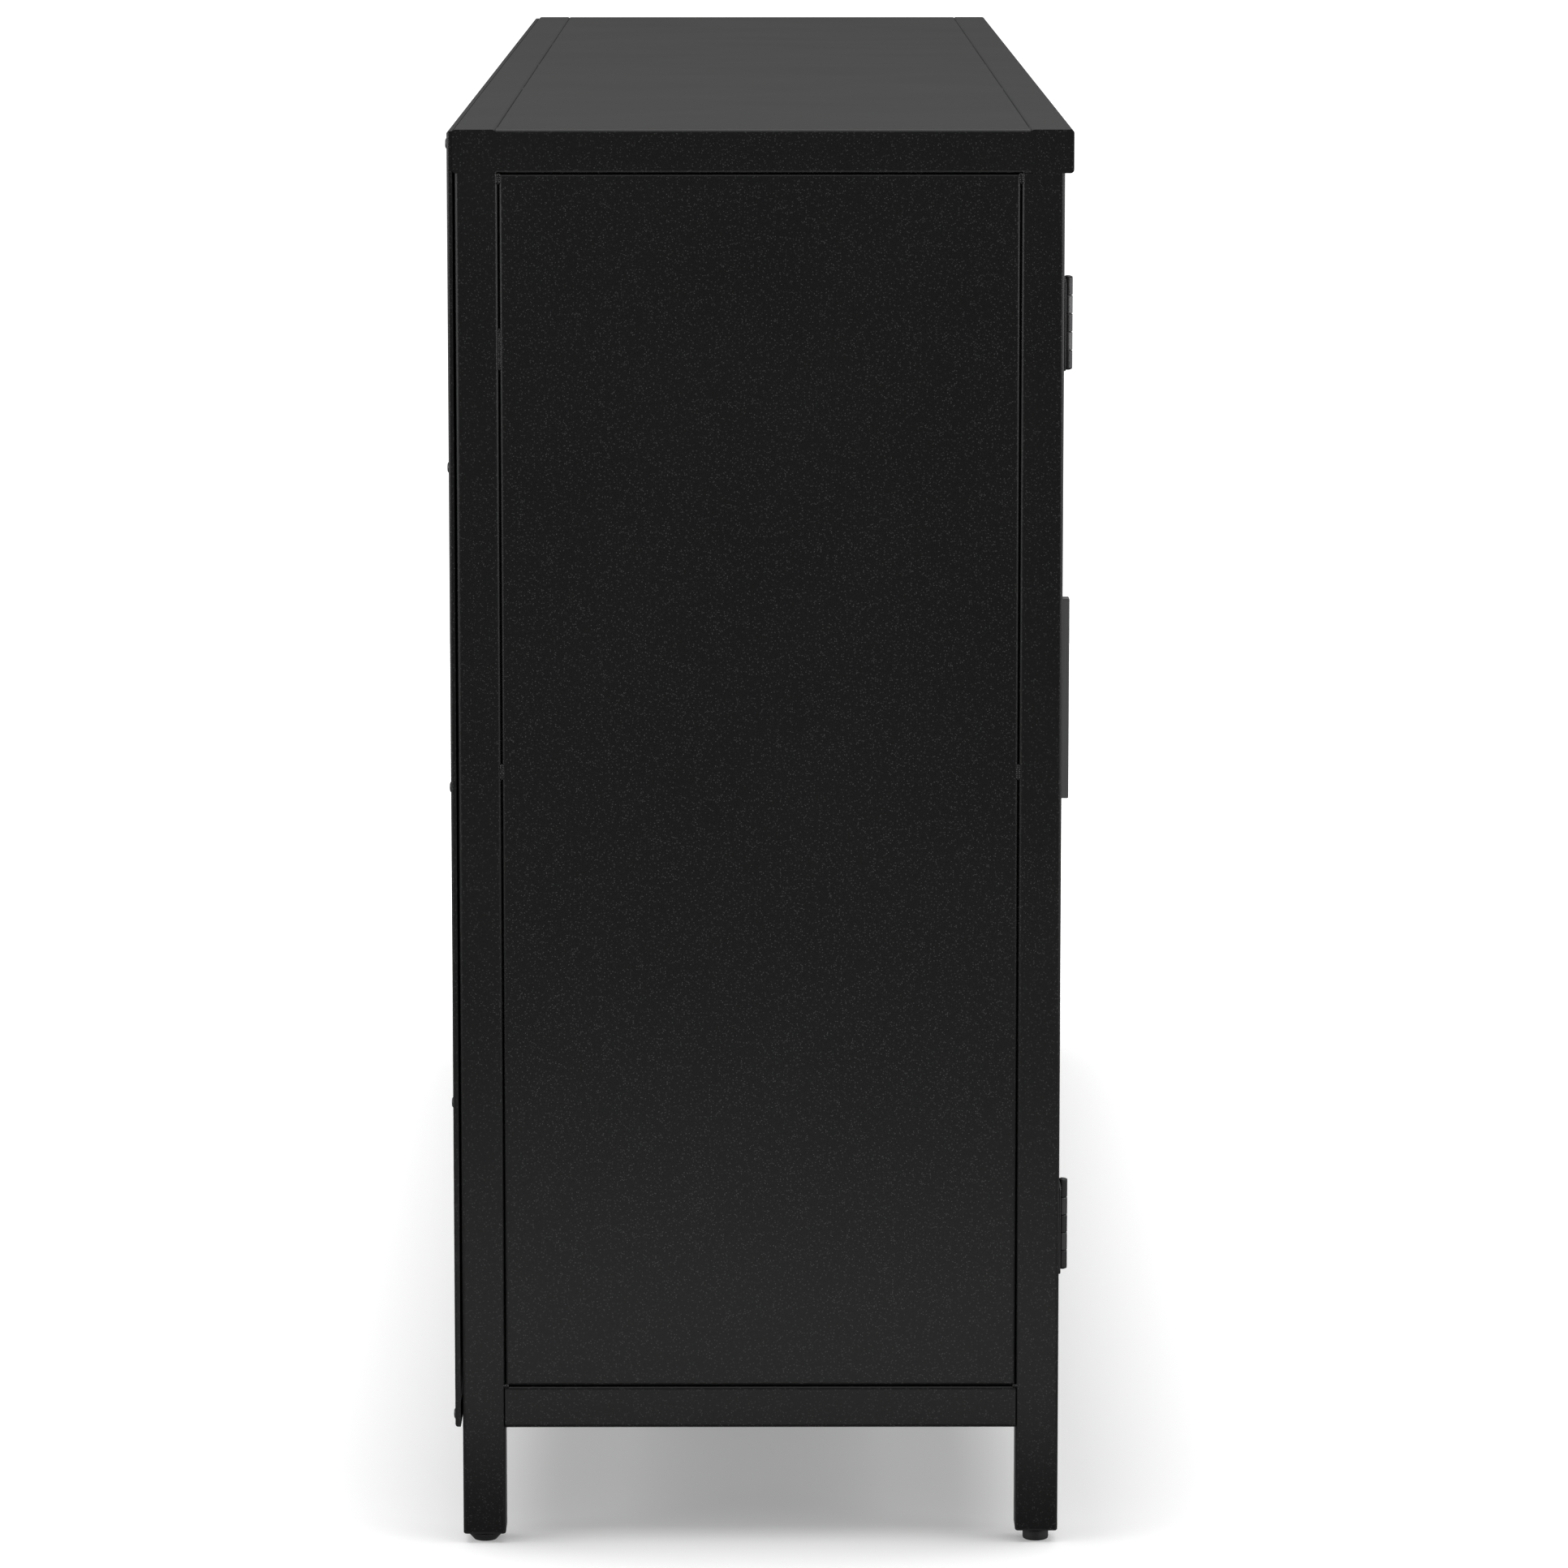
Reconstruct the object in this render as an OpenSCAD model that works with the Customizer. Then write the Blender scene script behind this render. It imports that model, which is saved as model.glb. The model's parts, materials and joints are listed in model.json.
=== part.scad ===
// Long steel cabinet with a door at each end and a stack of drawers between them.
// A welded frame of square tube carries trays of folded sheet steel.
// +X runs along the cabinet, the front faces -Y, +Z is up and z = 0 is the floor.

/* [Cabinet] */
// Length of the cabinet along the wall
cabinet_l = 1640; // [1500:10:1800]
// Height from the floor to the top
cabinet_h = 844.5; // [760:0.5:960]
// Depth over the corner posts
frame_d = 355.6; // [340:0.1:420]
// Height of the bottom rails above the floor
rail_z = 71; // [60:1:120]
// Width of each door opening
door_bay_w = 389.6; // [340:0.2:420]

/* [Tube] */
// Outside width of the square tube
tube_w = 25.4; // [24:0.1:28]
// Wall thickness of the square tube
tube_wall = 1.5; // [1.2:0.1:1.8]
// Outside corner radius of the square tube
tube_r = 2.2; // [2:0.1:3]
// Width of the small cross bar under the top sheets
cross_bar_w = 20; // [16:1:20]

/* [Top] */
// How far the top frame stands forward of the posts
top_front = 5.2; // [2:0.1:10]
// How far the top frame stands behind the posts
top_back = 1.2; // [0.6:0.1:3]
// Thickness of the two flat sheets let into the top frame
top_sheet = 2; // [1.5:0.1:2.5]

/* [Sheet trays] */
// Thickness of the folded sheet
sheet = 1.2; // [0.8:0.1:1.4]
// Outside radius of a folded edge
fold_r = 1.8; // [1.5:0.1:2.2]
// Gap between a fixed tray and the frame around it
tray_gap = 0.4; // [0.2:0.1:0.6]
// How deep the folded edges of the side trays and the floor tray are
tray_depth = 15; // [12:1:18]
// How far the back tray stands out behind the top frame
back_depth = 3.3; // [2.6:0.1:4]
// How much the back tray is smaller than the cabinet at each end
back_inset = 1; // [0.5:0.1:3]

/* [Doors] */
// Thickness of a door
door_d = 20; // [16:1:20]
// Gap along the upright edges of a door
door_side_gap = 2; // [1.8:0.1:2.2]
// Gap above and below a door
door_end_gap = 3; // [2:0.5:4]
// Width of the lips folded in behind a door
door_lip = 12; // [6:1:15]

/* [Hinges] */
// Height of a hinge over its five knuckles
hinge_h = 54; // [45:1:70]
// Number of knuckles on a hinge
knuckles = 5; // [5:2:7]
// Outside radius of a knuckle
knuckle_r = 2.9; // [2.6:0.1:2.9]
// Distance of the hinge axis in front of the posts
hinge_out = 3; // [3:0.1:3.2]
// Width of a hinge leaf from the hinge axis
leaf_w = 21; // [16:1:22]
// Thickness of a hinge leaf
leaf_t = 1.2; // [1:0.1:1.4]
// Radius of the hinge pin
pin_r = 1.5; // [1.3:0.1:1.6]
// Height of the domed head at each end of a hinge pin
pin_head = 0.9; // [0.6:0.1:1.2]
// Height of the middle of the lower hinge
low_hinge_z = 190; // [150:1:230]
// Height of the middle of the upper hinge
high_hinge_z = 730; // [640:1:740]

/* [Handles] */
// Length of a bar handle
handle_l = 130; // [100:1:160]
// Width of a bar handle
handle_w = 10; // [8:1:12]
// How far a handle stands out from the door
handle_out = 21.2; // [18:0.1:30]
// Thickness of the bar
bar_t = 7; // [5:0.5:8]
// Width of each handle leg
leg_w = 9; // [7:0.5:12]
// Outside radius of the square corner at each end of the bar
bend_r = 1; // [0.8:0.1:6]
// Distance of the handle's middle from the free edge of the door
handle_edge = 23; // [18:1:40]

/* [Drawers] */
// Gap above, below and between the drawer fronts
front_gap = 3; // [2:0.5:4]
// Gap at each end of a drawer front
front_end_gap = 2; // [1.5:0.1:3]
// Thickness of a drawer front
front_d = 18; // [15:1:20]
// Width of the lips folded in behind a drawer front, which carry its box
front_lip = 27; // [25:1:32]
// Height of a drawer box
box_h = 125; // [90:1:130]
// Depth of a drawer box, front to back
box_d = 318; // [280:1:320]
// Height of the drawer box above the lower edge of its front
box_lift = 20; // [15:1:25]
// Width left for a runner at each side of a drawer box
runner_w = 13.1; // [12.5:0.1:14]
// Height of a runner channel
runner_h = 36; // [30:1:42]
// Length of a runner
runner_l = 300; // [260:5:300]

/* [Shelves] */
// Height of the shelf's upper face
shelf_z = 450; // [300:5:600]
// How deep the folded edges of a shelf are
shelf_lip = 20; // [15:1:25]

/* [Feet] */
// Height of the front leg ends above the floor
leg_end_z = 8.7; // [8.2:0.1:12]
// Height of the back leg ends above the floor
back_leg_end_z = 7; // [6.6:0.1:12]
// Radius of the screw of a levelling foot
stud_r = 4; // [3:0.5:5]
// Length of the screw of a levelling foot
stud_l = 32; // [20:1:40]
// Radius of the front feet
front_foot_r = 7.75; // [7:0.25:9]
// Radius of the back feet at the top
back_foot_r = 10.6; // [8:0.1:11]
// Radius of the back feet at the floor
back_foot_base_r = 7.1; // [6:0.1:8]

/* [Screws] */
// Radius of the head of a back panel screw
screw_head_r = 3.1; // [2.8:0.1:4]
// Height of a screw head
screw_head = 1.2; // [1:0.1:2]
// Radius of a screw's shank
screw_r = 1.9; // [1.5:0.1:2.2]
// Length of a screw's shank
screw_l = 9; // [7:1:12]
// Pitch of the screws up the back
screw_pitch = 189.7; // [150:0.1:189.7]

/* [Hidden] */
$fn = 48;

// Overall box and the main planes
overall_d = handle_out + frame_d + top_back + back_depth + screw_head;
y_front = handle_out - overall_d / 2;
y_back = y_front + frame_d;
x_end = cabinet_l / 2;
x_bay = x_end - tube_w;
x_divider = x_bay - door_bay_w;
x_drawer = x_divider - tube_w;
z_floor = rail_z + tube_w;
z_top_rail = cabinet_h - tube_w;
z_under_top = cabinet_h - top_sheet;
bay_h = z_top_rail - z_floor;
y_top_inner_front = y_front - top_front + tube_w;
y_top_inner_back = y_back + top_back - tube_w;

// Clearances between pieces
touch_gap = 0.3;
bore_gap = 0.05;
slide_gap = 0.5;
screw_hole_gap = 0.3;
over = 1;

// Door sizes
door_w = door_bay_w - 2 * door_side_gap;
door_h = bay_h - 2 * door_end_gap;
hinge_x = x_bay - door_side_gap / 2;
knuckle_pitch = hinge_h / knuckles;
knuckle_gap = 0.3;

// Handle screws
handle_screw_head_h = 2.4;
handle_screw_head_r = 4;
handle_screw_l = 10;

// Drawer sizes
drawer_count = 4;
front_w = 2 * (x_drawer - front_end_gap);
front_h = (bay_h - (drawer_count + 1) * front_gap) / drawer_count;
box_w = 2 * (x_drawer - runner_w);
box_wall = 1;
hem_t = 2;
hem_h = 8;
runner_wall = 1.5;
runner_lip = 10;
runner_lift = 30;
runner_y = y_front + front_d + 8;

// Shelf sizes
shelf_front_gap = 30;
shelf_back_gap = 2;
shelf_side_gap = 1.5;
bearer_w = 14;
bearer_t = 1.5;
bearer_y = y_front + tube_w;
bearer_l = frame_d - 2 * tube_w;

// Magnet catch sizes
magnet_w = 16;
magnet_d = 34;
magnet_h = 46;
magnet_top_gap = 8;
pole_t = 2;
pole_out = 1;

// Feet sizes
plug_flange = 1.2;
plug_l = 28;
foot_gap = 0.6;
foot_edge = 0.8;

// Back screw places
screw_rows = 5;
low_screw_z = 77;
screw_columns = 7;
screw_column_pitch = 2 * (x_end - tube_w / 2) / (screw_columns - 1);

function foot_top(leg_end) = leg_end - plug_flange - foot_gap;
function drawer_z(n) = z_floor + front_gap + (drawer_count - n) * (front_h + front_gap);
function screw_z(row) = low_screw_z + row * screw_pitch;
function screw_x(column) = -(x_end - tube_w / 2) + column * screw_column_pitch;

// ---- Shared shapes ----

// Rectangle with all four corners rounded, its low corner on the origin
module rounded_rect(w, h, r) {
    translate([r, 0]) square([w - 2 * r, h]);
    translate([0, r]) square([w, h - 2 * r]);
    for (x = [r, w - r], y = [r, h - r])
        translate([x, y]) circle(r = r);
}

// Rectangle rounded only at the two corners on its y = 0 edge
module front_rounded_rect(w, h, r) {
    translate([r, 0]) square([w - 2 * r, h]);
    translate([0, r]) square([w, h - r]);
    for (x = [r, w - r])
        translate([x, r]) circle(r = r);
}

// Square tube standing on the origin, running up Z
module tube(length, size = tube_w) {
    linear_extrude(height = length)
        difference() {
            rounded_rect(size, size, tube_r);
            translate([tube_wall, tube_wall])
                square(size - 2 * tube_wall);
        }
}

// The same tube lying along X or along Y
module tube_x(length, size = tube_w) {
    translate([0, size, 0]) rotate([90, 0, 90]) mirror([1, 0, 0]) tube(length, size);
}
module tube_y(length, size = tube_w) {
    translate([0, length, 0]) rotate([90, 0, 0]) tube(length, size);
}

// Solid block of a tray's outline, all four edges of its face (y = 0) rounded
module tray_block(w, h, depth, r) {
    intersection() {
        linear_extrude(height = h) front_rounded_rect(w, depth, r);
        translate([0, 0, h]) rotate([0, 90, 0]) linear_extrude(height = w)
            front_rounded_rect(h, depth, r);
    }
}

// Folded tray, face at y = 0 looking along -Y, open behind
module tray(w, h, depth, wall = sheet, r = fold_r) {
    difference() {
        tray_block(w, h, depth, r);
        translate([wall, wall, wall])
            cube([w - 2 * wall, depth, h - 2 * wall]);
    }
}

// The same tray with a lip folded in behind all four sides
module lipped_tray(w, h, depth, lip) {
    tray(w, h, depth);
    translate([sheet / 2, depth - sheet, sheet / 2]) difference() {
        cube([w - sheet, sheet, h - sheet]);
        translate([lip, -over, lip])
            cube([w - sheet - 2 * lip, sheet + 2 * over, h - sheet - 2 * lip]);
    }
}

// Copies its children mirrored to the other end of the cabinet
module both_ends() {
    children();
    mirror([1, 0, 0]) children();
}

// ---- Frame ----

module post(bottom, top, x, y) {
    color("#2a2a2b") translate([x, y, bottom]) tube(top - bottom);
}
module back_post() {
    difference() {
        post(back_leg_end_z, z_top_rail, -x_end, y_back - tube_w);
        back_screw_holes(screw_r);
    }
}
module post_front_left() post(leg_end_z, z_top_rail, -x_end, y_front);
module post_front_right() mirror([1, 0, 0]) post_front_left();
module post_back_left() back_post();
module post_back_right() mirror([1, 0, 0]) back_post();
module divider_post_left() post(z_floor, z_top_rail, -x_divider, y_front);
module divider_post_right() mirror([1, 0, 0]) divider_post_left();

module bottom_rail_front() {
    color("#2a2a2b") translate([-x_bay, y_front, rail_z]) tube_x(2 * x_bay);
}
module bottom_rail_back() {
    color("#2a2a2b") difference() {
        translate([-x_bay, y_back - tube_w, rail_z]) tube_x(2 * x_bay);
        back_screw_holes(screw_r);
    }
}
module bottom_rail_left() {
    color("#2a2a2b") translate([-x_end, y_front + tube_w, rail_z]) tube_y(frame_d - 2 * tube_w);
}
module bottom_rail_right() mirror([1, 0, 0]) bottom_rail_left();

// Long top rail with its two ends closed
module capped_rail(y) {
    translate([-x_end, y, z_top_rail]) tube_x(cabinet_l);
    both_ends()
        translate([-x_end, y + tube_wall / 2, z_top_rail + tube_wall / 2])
            cube([tube_wall, tube_w - tube_wall, tube_w - tube_wall]);
}
module top_rail_front() {
    color("#2a2a2b") capped_rail(y_front - top_front);
}
module top_rail_back() {
    color("#2a2a2b") difference() {
        capped_rail(y_top_inner_back);
        back_screw_holes(screw_r);
    }
}
module top_rail_left() {
    color("#2a2a2b") translate([-x_end, y_top_inner_front, z_top_rail])
        tube_y(y_top_inner_back - y_top_inner_front);
}
module top_rail_right() mirror([1, 0, 0]) top_rail_left();
module top_cross_bar() {
    color("#2a2a2b") translate([-cross_bar_w / 2, y_top_inner_front, z_under_top - cross_bar_w])
        tube_y(y_top_inner_back - y_top_inner_front, cross_bar_w);
}

// ---- Panels ----

module top_sheet_left() {
    color("#343435")
        translate([-x_bay + tray_gap / 2, y_top_inner_front + tray_gap / 2, z_under_top])
            cube([x_bay - tray_gap, y_top_inner_back - y_top_inner_front - tray_gap, top_sheet]);
}
module top_sheet_right() mirror([1, 0, 0]) top_sheet_left();

module side_panel_left() {
    panel_w = frame_d - 2 * tube_w - 2 * tray_gap;
    panel_h = bay_h - 2 * tray_gap;
    color("#262627")
        translate([-x_end + tray_gap / 2, y_front + tube_w + tray_gap + panel_w, z_floor + tray_gap])
            rotate([0, 0, -90]) tray(panel_w, panel_h, tray_depth);
}
module side_panel_right() mirror([1, 0, 0]) side_panel_left();

module floor_panel() {
    panel_w = 2 * x_bay - 2 * tray_gap;
    panel_d = frame_d - 2 * tube_w - 2 * tray_gap;
    color("#262627")
        translate([-x_bay + tray_gap, y_front + tube_w + tray_gap, z_floor])
            rotate([-90, 0, 0]) tray(panel_w, panel_d, tray_depth);
}

module back_panel() {
    panel_w = cabinet_l - 2 * back_inset;
    panel_h = cabinet_h - rail_z - 1.5 * back_inset;
    color("#262627") difference() {
        translate([panel_w / 2, y_back + top_back + back_depth, rail_z + back_inset / 2])
            rotate([0, 0, 180]) tray(panel_w, panel_h, back_depth, sheet, back_depth / 2);
        back_screw_holes(screw_r + screw_hole_gap);
    }
}

// Places children at every back screw: all seven along the rails, the end ones up the posts
module at_back_screws() {
    for (row = [0 : screw_rows - 1], column = [0 : screw_columns - 1])
        if (row == 0 || row == screw_rows - 1 || column == 0 || column == screw_columns - 1)
            translate([screw_x(column), y_back + top_back + back_depth, screw_z(row)])
                rotate([90, 0, 0]) children();
}
module back_screw_holes(r) {
    at_back_screws() translate([0, 0, -over]) cylinder(r = r, h = screw_l + 2 * over);
}
module back_panel_screws() {
    color("#3a3a3c") at_back_screws() {
        cylinder(r = screw_r, h = screw_l);
        translate([0, 0, -screw_head]) rotate_extrude() screw_head_outline();
    }
}
// Half outline of a pan head with a rounded rim and a shallow drive recess
module screw_head_outline() {
    rim = screw_head / 2;
    difference() {
        union() {
            translate([0, rim]) square([screw_head_r, screw_head - rim]);
            square([screw_head_r - rim, screw_head]);
            translate([screw_head_r - rim, rim]) circle(r = rim);
        }
        square([screw_head_r / 3, screw_head / 2]);
    }
}

// Upright wall behind a divider post: two skins joined along the front, open at the back
module divider_panel_left() {
    wall_d = y_back + top_back - (y_front + tube_w);
    color("#262627") difference() {
        translate([-x_divider, y_front + tube_w, z_floor])
            cube([tube_w, wall_d, z_under_top - z_floor]);
        translate([-x_divider + sheet, y_front + tube_w + sheet, z_floor - over])
            cube([tube_w - 2 * sheet, wall_d, z_under_top - z_floor + 2 * over]);
        translate([-x_divider - over, y_top_inner_back - touch_gap, z_top_rail - touch_gap])
            cube([tube_w + 2 * over, tube_w * 2, tube_w * 2]);
    }
}
module divider_panel_right() mirror([1, 0, 0]) divider_panel_left();

// ---- Shelves ----

module shelf_left() {
    shelf_w = door_bay_w - 2 * shelf_side_gap;
    shelf_d = frame_d - shelf_front_gap - shelf_back_gap;
    color("#262627")
        translate([-x_bay + shelf_side_gap, y_front + shelf_front_gap, shelf_z])
            rotate([-90, 0, 0]) tray(shelf_w, shelf_d, shelf_lip);
}
module shelf_right() mirror([1, 0, 0]) shelf_left();

// Angle that carries one edge of a shelf, heel at the origin, running along Y
module bearer() {
    cube([bearer_t, bearer_l, bearer_w]);
    translate([0, 0, bearer_w - bearer_t]) cube([bearer_w, bearer_l, bearer_t]);
}
module shelf_bearers() {
    bearer_z = shelf_z - shelf_lip - bearer_w;
    color("#262627") both_ends() {
        translate([-x_bay - bearer_w / 2, bearer_y, bearer_z]) bearer();
        translate([-x_divider, bearer_y, bearer_z]) mirror([1, 0, 0]) bearer();
    }
}

// Magnet in a plastic case behind the free edge of each door, between two steel poles
module magnet_catches() {
    catch_z = z_top_rail - magnet_top_gap - magnet_h;
    catch_y = y_front + door_d + touch_gap + pole_out;
    color("#4b4b4d") both_ends()
        translate([-x_divider - magnet_w, catch_y, catch_z]) {
            difference() {
                cube([magnet_w, magnet_d, magnet_h]);
                for (x = [pole_t, magnet_w - 2 * pole_t])
                    translate([x, -over, pole_t]) cube([pole_t, magnet_d / 2, magnet_h - 2 * pole_t]);
            }
            for (x = [pole_t, magnet_w - 2 * pole_t])
                translate([x, -pole_out, pole_t])
                    cube([pole_t, magnet_d / 2 - over + pole_out, magnet_h - 2 * pole_t]);
        }
}

// ---- Feet ----

// Places children under each leg, at floor level on the leg's axis
module at_leg(x_side, y_leg) {
    translate([x_side * (x_end - tube_w / 2), y_leg, 0]) children();
}
y_front_leg = y_front + tube_w / 2;
y_back_leg = y_back - tube_w / 2;

module leg_plug(leg_end) {
    inner_w = tube_w - 2 * tube_wall;
    bottom = leg_end - plug_flange;
    difference() {
        union() {
            translate([-tube_w / 2, -tube_w / 2, bottom]) linear_extrude(height = plug_flange)
                rounded_rect(tube_w, tube_w, tube_r);
            translate([-inner_w / 2, -inner_w / 2, bottom]) cube([inner_w, inner_w, plug_l]);
        }
        translate([0, 0, bottom - over]) cylinder(r = stud_r + bore_gap, h = plug_l + 2 * over);
    }
}
module leg_plugs() {
    color("#1b1b1b") for (side = [-1, 1]) {
        at_leg(side, y_front_leg) leg_plug(leg_end_z);
        at_leg(side, y_back_leg) leg_plug(back_leg_end_z);
    }
}

// Levelling foot: a plastic pad on a screw that turns in the leg plug
module foot(top_r, base_r, top) {
    color("#1b1b1b") {
        cylinder(r1 = base_r - foot_edge, r2 = base_r, h = foot_edge);
        translate([0, 0, foot_edge]) cylinder(r1 = base_r, r2 = top_r, h = top - foot_edge);
        cylinder(r = stud_r, h = stud_l);
    }
}
module front_foot() foot(front_foot_r, front_foot_r, foot_top(leg_end_z));
module back_foot() foot(back_foot_r, back_foot_base_r, foot_top(back_leg_end_z));
module foot_front_left() at_leg(-1, y_front_leg) front_foot();
module foot_front_right() at_leg(1, y_front_leg) front_foot();
module foot_back_left() at_leg(-1, y_back_leg) back_foot();
module foot_back_right() at_leg(1, y_back_leg) back_foot();

// ---- Hinges ----

// One leaf on the +X side of a hinge axis that runs up Z from the origin.
// first is the lowest knuckle it carries; every second one is its own.
module hinge_leaf(first, bore_r) {
    color("#3a3a3c") difference() {
        union() {
            translate([knuckle_r + knuckle_gap, hinge_out - leaf_t, 0])
                cube([leaf_w - knuckle_r - knuckle_gap, leaf_t, hinge_h]);
            for (i = [first : 2 : knuckles - 1])
                translate([0, 0, i * knuckle_pitch + knuckle_gap / 2]) {
                    cylinder(r = knuckle_r, h = knuckle_pitch - knuckle_gap);
                    translate([0, hinge_out - leaf_t, 0])
                        cube([leaf_w / 2, leaf_t, knuckle_pitch - knuckle_gap]);
                }
        }
        translate([0, 0, -over]) cylinder(r = bore_r, h = hinge_h + 2 * over);
    }
}
// Places children on the axis of both hinges of the left door
module at_left_hinges() {
    for (z = [low_hinge_z, high_hinge_z])
        translate([-hinge_x, y_front - hinge_out, z - hinge_h / 2]) children();
}
module hinge_post_leaves() {
    both_ends() at_left_hinges() mirror([1, 0, 0]) hinge_leaf(1, pin_r);
}
module door_left_hinge_leaves() at_left_hinges() hinge_leaf(0, pin_r + bore_gap);
module door_right_hinge_leaves() mirror([1, 0, 0]) door_left_hinge_leaves();

module pin_head_outline() {
    intersection() {
        translate([0, pin_head - dome_r()]) circle(r = dome_r());
        square([knuckle_r, pin_head]);
    }
}
// Radius of a dome that is as wide as the knuckle and as high as the pin's head
function dome_r() = (knuckle_r * knuckle_r + pin_head * pin_head) / (2 * pin_head);
module hinge_pins() {
    color("#3a3a3c") both_ends() at_left_hinges() {
        cylinder(r = pin_r, h = hinge_h);
        translate([0, 0, hinge_h]) rotate_extrude() pin_head_outline();
        mirror([0, 0, 1]) rotate_extrude() pin_head_outline();
    }
}

// ---- Handles ----

// Bar bent to a flat U, standing out along -Y from y = 0, running up Z from the origin
module handle_bar() {
    finger_gap = handle_out - bar_t;
    rotate([0, -90, 0]) mirror([0, 1, 0]) linear_extrude(height = handle_w, center = true)
        difference() {
            translate([0, handle_out]) mirror([0, 1, 0])
                front_rounded_rect(handle_l, handle_out, bend_r);
            translate([leg_w, finger_gap]) mirror([0, 1, 0])
                front_rounded_rect(handle_l - 2 * leg_w, finger_gap + over, bend_r / 2);
        }
}
// Handle with the two screws that hold it from inside the sheet
module handle() {
    difference() {
        handle_bar();
        at_handle_screws() cylinder(r = screw_r + bore_gap, h = handle_screw_l + over);
    }
    at_handle_screws() {
        translate([0, 0, -sheet]) cylinder(r = screw_r, h = handle_screw_l + sheet);
        translate([0, 0, -sheet - handle_screw_head_h])
            cylinder(r = handle_screw_head_r, h = handle_screw_head_h);
    }
}
module handle_holes() {
    at_handle_screws() translate([0, 0, -sheet - over])
        cylinder(r = screw_r + screw_hole_gap, h = sheet + 2 * over);
}
// Places children on the outside of the sheet at both handle screws, running out of it
module at_handle_screws() {
    for (at = [leg_w / 2, handle_l - leg_w / 2])
        translate([0, 0, at]) rotate([90, 0, 0]) children();
}

// ---- Doors ----

door_handle_x = -x_divider - door_side_gap - handle_edge;
door_handle_z = z_floor + bay_h / 2 - handle_l / 2;

module door_left() {
    color("#262627") difference() {
        translate([-x_bay + door_side_gap, y_front, z_floor + door_end_gap])
            lipped_tray(door_w, door_h, door_d, door_lip);
        translate([door_handle_x, y_front, door_handle_z]) handle_holes();
    }
}
module door_right() mirror([1, 0, 0]) door_left();
module door_left_handle() {
    color("#5a5b5e") translate([door_handle_x, y_front, door_handle_z]) handle();
}
module door_right_handle() mirror([1, 0, 0]) door_left_handle();

// ---- Drawers ----

// Runner channel fixed to the divider on the -X side, open towards the drawer
module runner_channel() {
    difference() {
        cube([runner_lip, runner_l, runner_h]);
        translate([runner_wall, -over, runner_wall])
            cube([runner_lip, runner_l + 2 * over, runner_h - 2 * runner_wall]);
    }
}
module runner_channels() {
    color("#8e9094") for (n = [1 : drawer_count])
        both_ends() translate([-x_drawer, runner_y, drawer_z(n) + runner_lift]) runner_channel();
}

// Channel on the side of the drawer box that slides inside the fixed one
module slide_channel() {
    slide_w = runner_w - runner_wall - slide_gap;
    slide_h = runner_h - 2 * runner_wall - 2 * slide_gap;
    translate([-slide_w, 0, 0]) difference() {
        cube([slide_w, runner_l, slide_h]);
        translate([-over, -over, runner_wall])
            cube([slide_w - runner_wall + over, runner_l + 2 * over, slide_h - 2 * runner_wall]);
    }
}
module drawer_slides(n) {
    color("#8e9094") both_ends()
        translate([-box_w / 2, runner_y, drawer_z(n) + runner_lift + runner_wall + slide_gap])
            slide_channel();
}
module drawer_handle_place(n) {
    translate([-handle_l / 2, y_front, drawer_z(n) + front_h / 2]) rotate([0, 90, 0]) children();
}
module drawer_front(n) {
    color("#262627") difference() {
        translate([-front_w / 2, y_front, drawer_z(n)])
            lipped_tray(front_w, front_h, front_d, front_lip);
        drawer_handle_place(n) handle_holes();
    }
}
module drawer_box(n) {
    color("#262627") translate([-box_w / 2, y_front + front_d, drawer_z(n) + box_lift])
        difference() {
            cube([box_w, box_d, box_h]);
            translate([box_wall, box_wall, box_wall])
                cube([box_w - 2 * box_wall, box_d - 2 * box_wall, box_h - hem_h - box_wall]);
            translate([hem_t, hem_t, box_wall])
                cube([box_w - 2 * hem_t, box_d - 2 * hem_t, box_h]);
        }
}
module drawer_handle(n) {
    color("#5a5b5e") drawer_handle_place(n) handle();
}

// ---- Nodes ----

post_front_left();
post_front_right();
post_back_left();
post_back_right();
divider_post_left();
divider_post_right();
bottom_rail_front();
bottom_rail_back();
bottom_rail_left();
bottom_rail_right();
top_rail_front();
top_rail_back();
top_rail_left();
top_rail_right();
top_cross_bar();
top_sheet_left();
top_sheet_right();
side_panel_left();
side_panel_right();
back_panel();
back_panel_screws();
floor_panel();
divider_panel_left();
divider_panel_right();
shelf_left();
shelf_right();
shelf_bearers();
magnet_catches();
leg_plugs();
foot_front_left();
foot_front_right();
foot_back_left();
foot_back_right();
hinge_post_leaves();
hinge_pins();
door_left();
door_left_hinge_leaves();
door_left_handle();
door_right();
door_right_hinge_leaves();
door_right_handle();
runner_channels();
drawer_front(1);  // drawer_1_front
drawer_box(1);  // drawer_1_box
drawer_slides(1);  // drawer_1_slides
drawer_handle(1);  // drawer_1_handle
drawer_front(2);  // drawer_2_front
drawer_box(2);  // drawer_2_box
drawer_slides(2);  // drawer_2_slides
drawer_handle(2);  // drawer_2_handle
drawer_front(3);  // drawer_3_front
drawer_box(3);  // drawer_3_box
drawer_slides(3);  // drawer_3_slides
drawer_handle(3);  // drawer_3_handle
drawer_front(4);  // drawer_4_front
drawer_box(4);  // drawer_4_box
drawer_slides(4);  // drawer_4_slides
drawer_handle(4);  // drawer_4_handle
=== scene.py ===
import json
import math
import bmesh
import bpy
from mathutils import Matrix, Vector

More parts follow.
